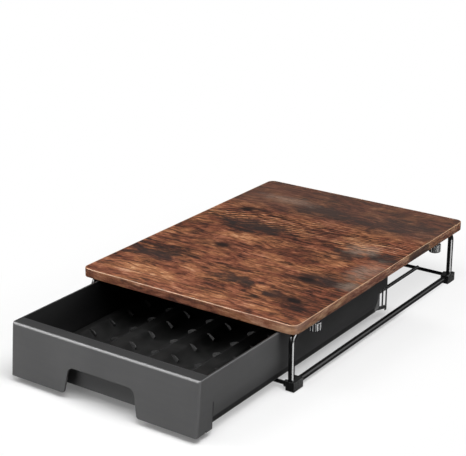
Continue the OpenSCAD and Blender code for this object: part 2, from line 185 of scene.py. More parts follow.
def fillRamp(ramp, stops):
    # a ramp starts with two stops; the first and last of ours take them over
    ramp.elements[0].position, ramp.elements[0].color = stops[0]
    ramp.elements[1].position, ramp.elements[1].color = stops[-1]
    for position, colour in stops[1:-1]:
        ramp.elements.new(position).color = colour


def tone(red, green, blue):
    # a screen colour from 0 to 255 as the linear colour that shaders take
    def linear(value):
        value = value / 255
        return value / 12.92 if value <= 0.04045 else ((value + 0.055) / 1.055) ** 2.4
    return linear(red), linear(green), linear(blue), 1.0


def grey(level):
    return tone(level, level, level)


def even(value):
    # a grey given by its linear value
    return value, value, value, 1.0


# Rustic wood print: planks, cloudy figure, short dashes along X, a fan of rings, knots and smoky
# patches. Marks are middle x, y and half sizes along x, y.
woodPrint = {
    "plankSeams": (-0.113, 0.086),
    "stops": (0.28, 0.38, 0.50, 0.62, 0.76),
    "reds": (tone(29, 17, 13), tone(67, 36, 26), tone(117, 65, 44), tone(158, 99, 72),
             tone(206, 156, 126)),
    "golds": (tone(35, 21, 14), tone(80, 48, 31), tone(134, 83, 54), tone(178, 120, 82),
              tone(222, 178, 136)),
    "smoke": tone(50, 40, 37), "ash": tone(160, 139, 123), "rearHaze": tone(76, 59, 53),
    "knot": tone(17, 9, 8), "halo": tone(60, 33, 25),
    # noise layers: marks a metre along and across the grain, detail and roughness
    "layers": {
        "sway": (9.0, 14.0, 2.0, 0.5), "clouds": (11.0, 26.0, 4.0, 0.6),
        "mottles": (48.0, 110.0, 5.0, 0.65), "lines": (24.0, 240.0, 2.0, 0.5),
        "streaks": (70.0, 330.0, 2.0, 0.6), "dashes": (130.0, 760.0, 3.0, 0.6),
        "saw": (520.0, 90.0, 2.0, 0.6), "patches": (16.0, 34.0, 3.0, 0.6)},
    "knots": ((0.122, -0.077, 0.0165, 0.0110), (0.099, -0.010, 0.0180, 0.0100),
              (-0.062, 0.031, 0.018, 0.0110), (-0.118, 0.171, 0.016, 0.0100)),
    "smokes": ((0.115, 0.232, 0.085, 0.046), (0.150, 0.108, 0.036, 0.024),
               (0.128, 0.000, 0.070, 0.022), (0.094, 0.088, 0.034, 0.016),
               (0.086, -0.074, 0.024, 0.015), (-0.070, 0.120, 0.080, 0.032),
               (-0.115, -0.050, 0.060, 0.022), (-0.020, 0.230, 0.070, 0.026),
               (0.020, -0.060, 0.050, 0.018)),
    "lights": ((0.098, 0.045, 0.040, 0.032), (0.118, -0.046, 0.060, 0.020),
               (0.110, 0.140, 0.080, 0.024), (-0.100, -0.110, 0.080, 0.040),
               (-0.060, 0.060, 0.060, 0.024), (0.020, 0.180, 0.050, 0.026)),
    "ashes": ((0.148, 0.056, 0.028, 0.060), (0.106, 0.120, 0.036, 0.030),
              (0.155, 0.000, 0.020, 0.020), (-0.090, 0.240, 0.070, 0.020)),
}


def spots(finish, x, y, ragged, places, soft):
    # the strongest of several ovals, each 1 in its middle and fading out at its ragged rim
    strongest = None
    for middleX, middleY, halfX, halfY in places:
        across = (x - middleX) / halfX
        along = (y - middleY) / halfY
        reach = (across * across + along * along) ** 0.5 + ragged
        spot = finish.fade(reach, 1.0, 1.0 - soft)
        strongest = strongest.orMore(spot) if strongest else spot
    return strongest


def woodLayer(finish, name, x, y, z):
    along, across, detail, rough = woodPrint["layers"][name]
    return finish.noise(finish.join(x * along, y * across, z * across), 1.0, detail, rough)


def woodFigure(finish, x, y, z):
    # the layers of the print, the level that picks its brown, and its height
    sway = woodLayer(finish, "sway", x, y, z)
    bent = y + (sway - 0.5) * 0.030
    clouds = woodLayer(finish, "clouds", x, bent, z)
    mottles = woodLayer(finish, "mottles", x + clouds * 0.0625, bent, z)
    wavy = bent + (mottles - 0.5) * 0.007
    lines = finish.fade(woodLayer(finish, "lines", x, wavy, z), 0.50, 0.62)
    streaks = woodLayer(finish, "streaks", x, wavy, z)
    dashes = woodLayer(finish, "dashes", x, bent, z)
    saw = woodLayer(finish, "saw", x, y, z)
    level = ((clouds - 0.5) * 0.52 + (mottles - 0.5) * 0.46 + (streaks - 0.5) * 0.50
             + (dashes - 0.5) * 0.24 + (saw - 0.5) * 0.12 - lines * 0.12 + 0.500)
    height = dashes * 0.4 + mottles * 0.3 + saw * 0.2 - lines * 0.3
    return sway, clouds, mottles, dashes, level, height


def woodColour(finish, level, x, y, z):
    # patches of a redder and of a more golden brown
    patches = finish.fade(woodLayer(finish, "patches", x, y, z), 0.42, 0.60)
    red, gold = (finish.ramp(level, woodPrint["stops"], woodPrint[name]) for name in ("reds", "golds"))
    return finish.mix(patches, red, gold)


def boardFinish():
    finish = Finish("rustic_wood_board")
    x, y, z = finish.split(finish.place())
    plank = 0.0
    for seam in woodPrint["plankSeams"]:
        plank = (y > seam) + plank
    sway, clouds, mottles, dashes, level, height = woodFigure(finish, x + plank * 0.37, y, z)
    ragged = (mottles - 0.5) * 1.8 + (clouds - 0.5) * 0.8

    def marks(name, soft):
        return spots(finish, x, y, ragged, woodPrint[name], soft)

    # the fan of rings: ovals about a far point, so they lie along X and curve down to the left
    ringX, ringY = (x - 0.190) / 2.6, y - 0.040
    reach = ((ringX * ringX + ringY * ringY) ** 0.5 + (sway - 0.5) * 0.030
             + (mottles - 0.5) * 0.004)
    rings = reach.maths("SINE", reach * 1150.0)
    fan = finish.within(y + (clouds - 0.5) * 0.10, (0.095, 0.125), (0.19, 0.155))
    level = (level + rings * (fan * 0.12 + 0.012) + finish.fade(plank, 0.6, 0.4) * 0.05
             + marks("lights", 0.9) * 0.08 - marks("smokes", 0.9) * 0.10)

    rear = finish.fade(y + ragged * 0.02, 0.165, 0.225)
    # pale grey smears on the right part of the top, broken up by the dashes
    ash = marks("ashes", 0.95) * finish.fade(dashes, 0.25, 0.6)
    wide = [(knotX - 0.006, knotY, halfX * 2.4, halfY * 2.0)
            for knotX, knotY, halfX, halfY in woodPrint["knots"]]
    halo = spots(finish, x, y, ragged, wide, 0.9)
    core = spots(finish, x, y, (mottles - 0.5) * 0.5, woodPrint["knots"], 0.7)
    colour = finish.coats(woodColour(finish, level, x + 0.13, y, z),
                          (marks("smokes", 0.8) * 0.66, woodPrint["smoke"]),
                          (rear * 0.6, woodPrint["rearHaze"]), (ash * 0.55, woodPrint["ash"]),
                          (halo * 0.6, woodPrint["halo"]), (core * 0.92, woodPrint["knot"]))
    for seam in woodPrint["plankSeams"]:
        gap = abs(y + (mottles - 0.5) * 0.004 - seam)
        colour = finish.mix(finish.fade(gap, 0.0018, 0.0003) * 0.6, colour, woodPrint["halo"])
    return finish.surface(colour, 0.50 - height * 0.16, finish.bump(height, 0.25 * mm, 0.4), 0.2)


def bandFinish():
    # the band's UV map runs along it in metres, so its grain follows the edge
    finish = Finish("rustic_wood_edge")
    along, across = finish.split(finish.node("ShaderNodeTexCoord", output="UV"))[:2]
    level, height = woodFigure(finish, along * 0.7, across * 0.8, 0.0)[-2:]
    x, y, z = finish.split(finish.place())
    ragged = height - 0.5
    darkRun = (finish.fade(y + ragged * 0.02, 0.136, 0.145) * finish.fade(y, 0.203, 0.196)
               * finish.fade(x, 0.150, 0.160))
    corner = finish.fade(x - y, 0.262, 0.300)
    # the top edge is lightened: wear, and a painted highlight along the rounded edge
    wearAndGlint = finish.fade(z + ragged * 0.0008, 0.0890, 0.0899)
    colour = finish.coats(woodColour(finish, level + 0.110, along * 0.8, across, 0.3),
                          (darkRun * 0.75, woodPrint["knot"]), (corner * 0.35, tone(214, 168, 138)),
                          (wearAndGlint * 0.6, tone(222, 186, 150)))
    return finish.surface(colour, 0.50 - height * 0.14, finish.bump(height, 0.2 * mm, 0.4), 0.35)


def drawerFinish():
    # moulded plastic with a fine spark-eroded texture; its inner faces are darker than its shell,
    # partly by tone and partly by painted shade, and painted shade darkens its creases, cap and long
    # sides
    finish = Finish("drawer_moulded_plastic")
    place = finish.place()
    x, y, z = finish.split(place)
    width = abs(x)
    facingX, facingY, upward = finish.split(finish.facing())
    sideways = abs(facingX)
    patches = finish.noise(place, 14.0)
    pebbles = finish.noise(place, 1500.0, 3.0, 0.6)
    flow = finish.noise(finish.join(x * 20.0, y * 20.0, z * 120.0), 1.0)
    plain = finish.ramp(patches * 0.6 + flow * 0.25 + pebbles * 0.15,
                        (0.30, 0.70), (tone(99, 99, 100), grey(112)))
    # painted shade: ambient occlusion finds creases and recesses, which are darkened below
    creaseShade = finish.node("ShaderNodeAmbientOcclusion", {"samples": 8},
                           {"Distance": 9 * mm}, output="AO")
    # painted shade: the upward faces of the cap and rims are darkened, standing in for the dark
    # surroundings they mirror
    capShade = finish.fade(upward, 0.8, 0.97) * finish.fade(z, 0.072, 0.074)
    # painted shade: the long sides behind the front are darkened where the board above shades them
    shadedFlank = finish.fade(sideways, 0.95, 0.995) * finish.fade(y, -0.20, -0.08)    # long sides
    # painted shadow: a dark line on the side just behind the end of the front's return
    seam = (finish.within(y, (-0.2764, -0.2760), (-0.2728, -0.2750))
            * finish.fade(z, 0.0432, 0.0400) * finish.fade(width, 0.134, 0.136))
    # the inner faces are near black: partly a darker tone and partly painted shade of the deep tray
    inside = (finish.fade(width, 0.1391, 0.1385) * finish.fade(z, 0.0135, 0.0142)
              * finish.within(y, (-0.2836, -0.2826), (0.1046, 0.1036)))
    colour = finish.coats(plain, (finish.fade(creaseShade, 0.85, 0.45) * 0.6, tone(20, 20, 21)),
                          (capShade * 0.85, tone(20, 20, 21)), (shadedFlank * 0.4, tone(62, 62, 63)),
                          (seam * 0.85, grey(12)), (inside, tone(6, 6, 7)),
                          (finish.edges(0.7 * mm) * 0.22, grey(150)))
    # duller along the front's rounded upper edge and its upright corners, smoother on the long sides
    rounded = finish.within(upward, (0.15, 0.45), (0.97, 0.80)) * finish.fade(z, 0.070, 0.073)
    corner = finish.within(sideways, (0.15, 0.5), (0.995, 0.9))
    rough = (rounded * 0.16 + corner * 0.30 - shadedFlank * 0.13
             + patches * 0.08 + pebbles * 0.08 + 0.34)
    return finish.surface(colour, rough, finish.bump(pebbles, 0.05 * mm, 0.35), 0.4)


def blackPlastic(name, level, rough, grain, shine, wear=0.25, wearWidth=0.5 * mm, scuffsAndSheen=0.0):
    # black moulded plastic: faint cloudiness, moulding grain, lighter edges that are rubbed wear and
    # partly a painted highlight, and sides facing X made greyer with scuff marks and a painted sheen
    finish = Finish(name)
    place = finish.place()
    patches = finish.noise(place, 60.0)
    pebbles = finish.noise(place, grain, 3.0, 0.6)
    base = grey(level)[0]
    colour = finish.mix(finish.fade(patches, 0.35, 0.65), even(base), even(base * 1.5 + 0.003))
    # painted sheen: faces turned along X are lightened in scuff-like marks
    if scuffsAndSheen:
        marks = finish.fade(finish.noise(place, 500.0, 4.0, 0.7), 0.3, 0.7) * 0.7 + 0.3
        side = finish.fade(abs(finish.split(finish.facing())[0]), 0.7, 0.95)
        colour = finish.mix(side * marks * scuffsAndSheen, colour, grey(122))
    # lighter edges: rubbed wear, brightened by the side sheen's amount into a painted highlight
    wearAndGlint = even(base * 5 + 0.01 + scuffsAndSheen * 0.22)
    colour = finish.mix(finish.edges(wearWidth) * wear, colour, wearAndGlint)
    return finish.surface(colour, patches * 0.1 + pebbles * 0.08 + (rough - 0.09),
                          finish.bump(pebbles, 0.05 * mm, 0.3), shine)


def blackCoat():
    # sprayed black coat on steel tube: orange peel, smears and dust nibs
    finish = Finish("black_coated_steel")
    place = finish.place()
    peel = finish.noise(place, 420.0, 2.0)
    smears = finish.noise(place, 25.0, 4.0, 0.6)
    nibs = finish.fade(finish.noise(place, 1300.0, 1.0), 0.74, 0.80)
    colour = finish.coats(tone(9, 9, 10), (finish.fade(smears, 0.3, 0.7), tone(19, 19, 20)),
                          (nibs * 0.4, grey(70)))
    return finish.surface(colour, 0.12 + smears * 0.14,
                          finish.bump(peel + nibs * 0.5, 0.06 * mm, 0.25), 0.6)


def bareMetal(name, dull, bright):
    # plated or turned metal: fine turning lines and a cloudy plating
    finish = Finish(name)
    place = finish.place()
    x, y, z = finish.split(place)
    clouds = finish.noise(place, 300.0, 4.0, 0.6)
    lines = finish.noise(finish.join(x * 300.0, y * 300.0, z * 6000.0), 1.0, 2.0)
    return finish.surface(finish.mix(clouds, dull, bright), 0.25 + clouds * 0.15,
                          finish.bump(lines, 0.02 * mm, 0.3), metal=1.0)


finishes = {
    "wood": boardFinish(),
    "wood_edge": bandFinish(),
    "drawer_plastic": drawerFinish(),
    "rack_plastic": blackPlastic("rack_black_plastic", 8, 0.50, 1200.0, 0.2),
    "foot_plastic": blackPlastic("foot_black_plastic", 16, 0.24, 1600.0, 0.6,
                                 wear=0.7, wearWidth=0.7 * mm, scuffsAndSheen=0.8),
    "knob_plastic": blackPlastic("knob_black_plastic", 18, 0.34, 2000.0, 0.8),
    "rubber": blackPlastic("pad_rubber", 30, 0.85, 900.0, 0.3),
    "black_metal": blackCoat(),
    "steel": bareMetal("zinc_plated_steel", tone(150, 152, 156), tone(205, 206, 208)),
    "brass": bareMetal("insert_brass", tone(165, 130, 70), tone(215, 180, 110)),
}
print("finishes made:", len(finishes))


def spread(x, y, z):
    # coordinates, as arrays or numbers, brought to one shape and stacked into points
    return np.stack(np.broadcast_arrays(x, y, z), -1)


def around(count):
    # angles once round, without the last one, which is the first again
    return np.linspace(0, 2 * math.pi, count, endpoint=False)


def skin(rings, closedLoop=False):
    # rings[i, j] is point j of ring i. Each face joins two neighbours of a ring to the same two of the
    # next one; the last ring joins the first (closedLoop), or one face covers each end.
    # Corner positions count on past the last column, so a pattern laid along them has no step.
    rows, columns = rings.shape[:2]
    i, j = np.meshgrid(np.arange(rows if closedLoop else rows - 1), np.arange(columns), indexing="ij")
    cornerRows = np.stack([i, i, i + 1, i + 1], -1).reshape(-1, 4)
    cornerColumns = np.stack([j, j + 1, j + 1, j], -1).reshape(-1, 4)
    faces = ((cornerRows % rows) * columns + cornerColumns % columns).tolist()
    if not closedLoop:
        faces.append(list(range(columns)))
        faces.append(list(range((rows - 1) * columns, rows * columns)))
    return rings.reshape(-1, 3), faces, (cornerRows, cornerColumns)


def turned(places, radii, middle, axis, count):
    # rings about the X, Y or Z axis (0, 1, 2) through middle; places along it and radii are numbers,
    # columns (one for each ring) or whole grids of rings by angles
    angle = around(count)
    parts = [middle[0] + radii * np.cos(angle), middle[1] + radii * np.sin(angle)]
    parts.insert(axis, places)
    return spread(*parts)


def settle(name, mesh, body, slotName, replaced):
    piece = bpy.data.objects.new(name, mesh)
    bpy.context.scene.collection.objects.link(piece)
    mesh.materials.clear()
    mesh.materials.append(finishes[slotName])
    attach(piece, body)
    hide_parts(*replaced)
    return piece


def makePiece(name, skins, body, slotName, replaced, smoothUpTo=32, cornerPlaces=None):
    # one object from several closed skins, with outward faces and a soft or sharp look at each edge
    points, faces = [], []
    for skinPoints, skinFaces, corners in skins:
        start = sum(len(block) for block in points)
        faces += [[start + index for index in face] for face in skinFaces]
        points.append(skinPoints)
    mesh = bpy.data.meshes.new(name)
    mesh.from_pydata(np.concatenate(points).tolist(), [], faces)
    if cornerPlaces is not None:
        mesh.uv_layers.new(name="along").data.foreach_set("uv", cornerPlaces.ravel())
    shell = bmesh.new()
    shell.from_mesh(mesh)
    bmesh.ops.recalc_face_normals(shell, faces=shell.faces)
    shell.to_mesh(mesh)
    shell.free()
    mesh.shade_smooth()
    mesh.set_sharp_from_angle(angle=math.radians(smoothUpTo))
    return settle(name, mesh, body, slotName, replaced)


def easedCopy(name, node, body, slotName, radius):
    # a copy of a node's mesh: triangles joined into flat faces, then its edges rounded a little
    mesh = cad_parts[node].data.copy()
    mesh.name = name
    shell = bmesh.new()
    shell.from_mesh(mesh)
    bmesh.ops.remove_doubles(shell, verts=shell.verts, dist=0.01 * mm)
    bmesh.ops.dissolve_limit(shell, angle_limit=math.radians(0.5), verts=shell.verts, edges=shell.edges)
    shell.to_mesh(mesh)
    shell.free()
    mesh.shade_smooth()
    rounding = settle(name, mesh, body, slotName, [node]).modifiers.new("rounding", "BEVEL")
    rounding.width = radius
    rounding.segments = 2
    rounding.limit_method = "ANGLE"
    rounding.angle_limit = math.radians(28)
    rounding.harden_normals = True


def outline(middle, halfX, halfY, radius, z, inset=0.0, perCorner=5):
    # quarter circles about the four corner middles, their radius less the inset, and straight runs
    turn = np.linspace(0, math.pi / 2, perCorner)
    angles = (turn[None, :] + np.arange(4)[:, None] * math.pi / 2).ravel()
    cornerX = np.repeat([1, -1, -1, 1], perCorner) * (halfX - radius)
    cornerY = np.repeat([1, 1, -1, -1], perCorner) * (halfY - radius)
    return spread(middle[0] + cornerX + (radius - inset) * np.cos(angles),
                  middle[1] + cornerY + (radius - inset) * np.sin(angles), z)


def easedEnds(start, end, ease):
    # the rings of a block with eased ends: how far each is drawn in, ease (1 - cos t), and its place,
    # ease (1 - sin t) from the block's end
    turn = np.radians([90, 60, 30, 0])
    drawn, rise = ease * (1 - np.cos(turn)), ease * (1 - np.sin(turn))
    return zip(np.concatenate([drawn, drawn[::-1]]), np.concatenate([start + rise, end - rise[::-1]]))


edgeBand = {"thickness": 1.0 * mm, "cornerRadius": 10 * mm, "edgeRadius": 0.6 * mm,
            "seam": 0.15 * mm, "perCorner": 14, "perEdge": 5}


def makeEdgeBand():
    # the profile runs up the outside, over its rounded edges and down the glued face
    low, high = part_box("edge_band")
    half, middle = (high - low) / 2, (high + low) / 2
    curve, thick, seam = edgeBand["edgeRadius"], edgeBand["thickness"], edgeBand["seam"]
    turn = np.linspace(0, math.pi / 2, edgeBand["perEdge"])
    drawn, rise = curve * (1 - np.sin(turn)), curve * (1 - np.cos(turn))
    profile = list(zip(drawn, low.z + rise)) + list(zip(rise, high.z - drawn))
    profile += [(thick - seam, high.z), (thick, high.z - seam), (thick, low.z + seam),
                (thick - seam, low.z)]
    rings = np.array([outline(middle, half.x, half.y, edgeBand["cornerRadius"], z, inset,
                              edgeBand["perCorner"]) for inset, z in profile])
    points, faces, (cornerRows, cornerColumns) = skin(rings, closedLoop=True)
    outer = rings[edgeBand["perEdge"]]
    steps = np.linalg.norm(np.roll(outer, -1, axis=0) - outer, axis=1)
    along = np.concatenate([[0], np.cumsum(steps)])
    up = np.array([z for inset, z in profile] + [profile[0][1]])
    makePiece("edge_band_wood", [(points, faces, None)], "stand", "wood_edge", ["edge_band"],
              cornerPlaces=np.stack([along[cornerColumns], up[cornerRows]], -1))


leg = {"tubeRadius": 4 * mm, "bendRadius": 12 * mm, "tabWidth": 16 * mm, "tabThick": 3 * mm,
       "swageStart": 30 * mm, "swageEnd": 40 * mm, "flatness": 0.4, "around": 36, "tabTurn": 86}
legNodes = ["front_left_leg", "front_right_leg", "rear_left_leg", "rear_right_leg"]


def legPlaces(node):
    # the upright's x and y, the screw's y, and +1 or -1 for the way the top bar goes along Y
    low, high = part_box(node)
    way = 1 if high.y < 0 else -1
    outer, inner = (low.y, high.y) if way > 0 else (high.y, low.y)
    return ((low.x + high.x) / 2, outer + way * leg["tubeRadius"],
            inner - way * leg["tabWidth"] / 2, way)


def legSkin(node):
    # Middle line: straight up, a quarter circle, then level under the board.
    # Section: superellipse |b/w|^(2/p) + |n/h|^(2/p) = 1; p falls from 1 (round tube) to its flat value
    # while w and h go from the tube's radius to the tab's half width and half thickness.
    # Past the screw, w follows the half circle of the tab's end.
    x, uprightY, screwY, way = legPlaces(node)
    low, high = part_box(node)
    radius, bend, tabHalf = leg["tubeRadius"], leg["bendRadius"], leg["tabWidth"] / 2
    start, end = leg["swageStart"], leg["swageEnd"]
    barZ = high.z - radius
    reach = abs(uprightY - screwY)
    heights = np.linspace(low.z, barZ - bend, 7)[:-1]
    turn = np.linspace(0, math.pi / 2, 13)
    closing = np.linspace(0, math.radians(leg["tabTurn"]), 12)
    level = np.concatenate([np.linspace(bend, start, 5)[1:], np.linspace(start, end, 12)[1:],
                            reach + tabHalf * np.sin(closing)])
    zeros = np.zeros(len(heights))
    inward = np.concatenate([zeros, bend * (1 - np.cos(turn)), level])
    height = np.concatenate([heights, barZ - bend + bend * np.sin(turn), np.full(len(level), barZ)])
    tilt = np.concatenate([zeros, turn, np.full(len(level), math.pi / 2)])[:, None]
    share = np.clip((inward - start) / (end - start), 0, 1)
    share = share * share * (3 - 2 * share)
    flatter = radius - leg["tabThick"] / 2
    past = np.clip(inward - reach, 0, tabHalf)
    halfWide = np.where(past > 0, np.sqrt(tabHalf ** 2 - past ** 2),
                        radius + (tabHalf - radius) * share)
    power = (1 + (leg["flatness"] - 1) * share)[:, None]
    cosine, sine = np.cos(around(leg["around"])), np.sin(around(leg["around"]))
    wide = halfWide[:, None] * np.sign(cosine) * np.abs(cosine) ** power
    thick = (radius - flatter * share)[:, None] * np.sign(sine) * np.abs(sine) ** power
    return skin(spread(x + wide, uprightY + way * (inward[:, None] - thick * np.cos(tilt)),
                       (height + flatter * share)[:, None] + thick * np.sin(tilt)))


sideRail = {"wall": 1.2 * mm, "around": 36, "lip": 0.3 * mm}


def makeSideRail(node):
    # an open tube: out along the outer circle, over a rounded lip and back along the bore
    low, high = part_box(node)
    outer, lip = (high.z - low.z) / 2, sideRail["lip"]
    bore = outer - sideRail["wall"]
    profile = [(low.y + lip, outer), (high.y - lip, outer), (high.y, outer - lip),
               (high.y, bore + lip), (high.y - lip, bore), (low.y + lip, bore),
               (low.y, bore + lip), (low.y, outer - lip)]
    places, radii = np.array(profile).T[:, :, None]
    rings = turned(places, radii, ((low.x + high.x) / 2, (low.z + high.z) / 2), 1, sideRail["around"])
    makePiece(node + "_tube", [skin(rings, closedLoop=True)], "stand", "black_metal", [node])


rod = {"around": 28, "rings": 90, "beadHeight": 0.7 * mm, "beadLength": 2.2 * mm,
       "beadRipples": 7, "rippleDepth": 0.25, "beadTop": 0.35}


def makeSlideRod(node):
    # The ends are cut to fit round the cross rods: each point stops where the cross rod's circle is
    # at its height. A weld bead swells each end as a bell curve, more below than on top, with ripples.
    low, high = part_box(node)
    crossLow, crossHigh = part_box("front_cross_rod")
    crossRadius, crossZ = (crossHigh.z - crossLow.z) / 2, (crossLow.z + crossHigh.z) / 2
    radius, z = (high.z - low.z) / 2, (low.z + high.z) / 2
    angle = around(rod["around"])
    level = z + radius * np.sin(angle) - crossZ
    cope = np.sqrt(np.clip(crossRadius ** 2 - level ** 2, 0, None))
    length = high.y - low.y
    shares = np.linspace(0, 1, rod["rings"])[:, None]
    fromEnd = np.minimum(shares, 1 - shares) * length
    under = np.clip(rod["beadTop"] - np.sin(angle), 0, 1)
    bead = rod["beadHeight"] * np.exp(-(fromEnd / rod["beadLength"]) ** 2) * under
    radii = radius + bead * (1 + rod["rippleDepth"] * np.sin(rod["beadRipples"] * angle))
    places = low.y + cope + (length - 2 * cope) * shares
    rings = turned(places, radii, ((low.x + high.x) / 2, z), 1, rod["around"])
    makePiece(node + "_steel", [skin(rings)], "stand", "black_metal", [node])


def makeCrossRod(node):
    # a rod along X whose ends are hollowed to sit on the legs
    low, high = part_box(node)
    radius = (high.z - low.z) / 2
    uprightX = legPlaces("front_right_leg")[0]
    end = uprightX - np.sqrt(leg["tubeRadius"] ** 2 - (radius * np.cos(around(rod["around"]))) ** 2)
    shares = np.linspace(-1, 1, rod["rings"])[:, None]
    middle = ((low.y + high.y) / 2, (low.z + high.z) / 2)
    rings = turned(shares * end, radius, middle, 0, rod["around"])
    makePiece(node + "_steel", [skin(rings)], "stand", "black_metal", [node])


print("stand: band, legs, rails and rods")
makeEdgeBand()
for node in legNodes:
    makePiece(node + "_tube", [legSkin(node)], "stand", "black_metal", [node], smoothUpTo=50)
for makeTube, kind, sides in ((makeSideRail, "side_rail", ("left", "right")),
                              (makeSlideRod, "slide_rod", ("left", "right")),
                              (makeCrossRod, "cross_rod", ("front", "rear"))):
    for side in sides:
        makeTube(side + "_" + kind)


knob = {"flutes": 16, "fluteRadius": 0.8 * mm, "perFlute": 10,
        # radius and height above the knob's lower end in mm, and how deep the flutes are there
        "profile": ((2.6, 0.9, 0), (4.0, 0.8, 0), (4.9, 0.2, 0), (5.8, 0.0, 0), (7.0, 0.05, 0),
                    (7.7, 0.4, 0.3), (8.3, 1.0, 0.8), (8.5, 1.8, 1), (8.5, 6.0, 1), (8.5, 10.4, 1),
                    (8.4, 11.2, 0.8), (8.0, 11.8, 0.3), (7.0, 12.2, 0), (6.1, 12.3, 0),
                    (5.8, 12.6, 0), (5.8, 13.0, 0))}


def knobSkin(middle, low, high):
    # a turned profile; each flute takes a round bite sqrt(f^2 - (r a)^2) out of the radius at angle a
    count = knob["flutes"] * knob["perFlute"]
    pitch = 2 * math.pi / knob["flutes"]
    fromFlute = np.abs((around(count) + pitch / 2) % pitch - pitch / 2)
    radius, height, depth = np.array(knob["profile"]).T[:, :, None]
    away = fromFlute * radius * mm
    bite = np.sqrt(np.clip(knob["fluteRadius"] ** 2 - away ** 2, 0, None)) * depth
    return skin(turned(low + height * mm, radius * mm - bite, middle, 2, count))


thread = {"radius": 3.0 * mm, "depth": 0.55 * mm, "pitch": 1.0 * mm, "around": 24, "perTurn": 8,
          "taperLength": 1.5, "tipShare": 0.4}


def studSkin(middle, low, high):
    # r(a, z) = R - depth * |2 frac(z / pitch - a / 2 pi) - 1|: the ridge climbs one pitch a turn
    rows = int((high - low) / thread["pitch"] * thread["perTurn"])
    height = np.linspace(low, high, rows)[:, None]
    phase = (height - low) / thread["pitch"] - around(thread["around"]) / (2 * math.pi)
    valley = np.abs(2 * (phase - np.floor(phase)) - 1)
    taper = np.clip((high - height) / (thread["taperLength"] * thread["depth"]), thread["tipShare"], 1)
    radii = (thread["radius"] - thread["depth"] * valley) * (0.5 + 0.5 * taper)
    return skin(turned(height, radii, middle, 2, thread["around"]))


washer = {"outer": 7.0 * mm, "bore": 3.2 * mm, "rounding": 0.25 * mm, "around": 48}


def washerSkin(middle, low, high):
    # a closed ring profile with eased edges, turned about the screw
    outer, bore, ease = washer["outer"], washer["bore"], washer["rounding"]
    profile = [(bore, low + ease), (bore + ease, low), (outer - ease, low), (outer, low + ease),
               (outer, high - ease), (outer - ease, high), (bore + ease, high), (bore, high - ease)]
    radii, places = np.array(profile).T[:, :, None]
    return skin(turned(places, radii, middle, 2, washer["around"]), closedLoop=True)


for node, ending, makeSkin, slotName, smoothUpTo in (
        ("thumb_knobs", "_fluted", knobSkin, "knob_plastic", 40),
        ("screw_studs", "_threaded", studSkin, "steel", 32),
        ("screw_washers", "_eased", washerSkin, "steel", 32)):
    low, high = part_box(node)
    skins = [makeSkin(legPlaces(name)[0::2], low.z, high.z) for name in legNodes]
    makePiece(node + ending, skins, "stand", slotName, [node], smoothUpTo)
print("thumb screws made")


pad = {"width": 8 * mm, "length": 17 * mm, "cornerRadius": 1.5 * mm, "perCorner": 6,
       # inset and height above the floor in mm: side, eased edge, then a shallow ring groove below
       "profile": ((0.6, 1.5), (0.0, 1.5), (0.0, 0.3), (0.1, 0.1), (0.3, 0.0), (0.7, 0.0),
                   (0.85, 0.3), (1.2, 0.3), (1.35, 0.0))}


def padSkin(x, y):
    return skin(np.array([outline((x, y), pad["width"] / 2, pad["length"] / 2, pad["cornerRadius"],
                                  height * mm, inset * mm, pad["perCorner"])
                          for inset, height in pad["profile"]]))


padLow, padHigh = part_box("rubber_pads")
padX = padHigh.x - pad["width"] / 2
padYs = (padLow.y + pad["length"] / 2, padHigh.y - pad["length"] / 2)
makePiece("rubber_pads_grooved", [padSkin(x, y) for x in (-padX, padX) for y in padYs],
          "stand", "rubber", ["rubber_pads"])
for node in ("front_left_foot", "front_right_foot", "rear_left_foot", "rear_right_foot"):
    easedCopy(node + "_moulded", node, "stand", "foot_plastic", 0.5 * mm)
print("feet made")


drawer = {"wall": 2.8 * mm, "rimRadius": 1.2 * mm, "bandHeight": 33.5 * mm, "tuck": 4.5 * mm,
          "bottomRadius": 1.6 * mm, "floorRadius": 1.2 * mm, "bottomAboveSkirt": 4 * mm,
          "lean": 7 * mm, "draft": 0.8 * mm, "edgeRadius": 3.5 * mm, "ease": 0.5 * mm,
          "returnLength": 24 * mm, "returnUnderRim": 2 * mm, "cheekLength": 23 * mm,
          "gripDepth": 14.5 * mm, "gripWallLean": 3.5 * mm,
          "notchWidth": 110 * mm, "notchTaper": 12 * mm, "notchHeight": 34 * mm,
          "notchRadius": 9 * mm, "notchFootRadius": 4 * mm,
          "hold": 0.4 * mm,     # width of the rings beside a rounding, which keep the faces flat
          "lap": 0.02 * mm}     # how far apart the faces of overlapping skins lie
trayLow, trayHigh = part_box("drawer_tray")
frontY = trayLow.y + drawer["lean"]
rimZ, skirtZ = trayHigh.z, trayLow.z
bottomZ = skirtZ + drawer["bottomAboveSkirt"]
bandZ = rimZ - drawer["bandHeight"]
trayBackY = trayHigh.y - drawer["cheekLength"]
halfWidth = trayHigh.x


def arc(middle, radius, start, end, count):
    # points of a circle about middle from one angle to another, in degrees
    angle = np.radians(np.linspace(start, end, count))
    return np.column_stack([middle[0] + radius * np.cos(angle), middle[1] + radius * np.sin(angle)])


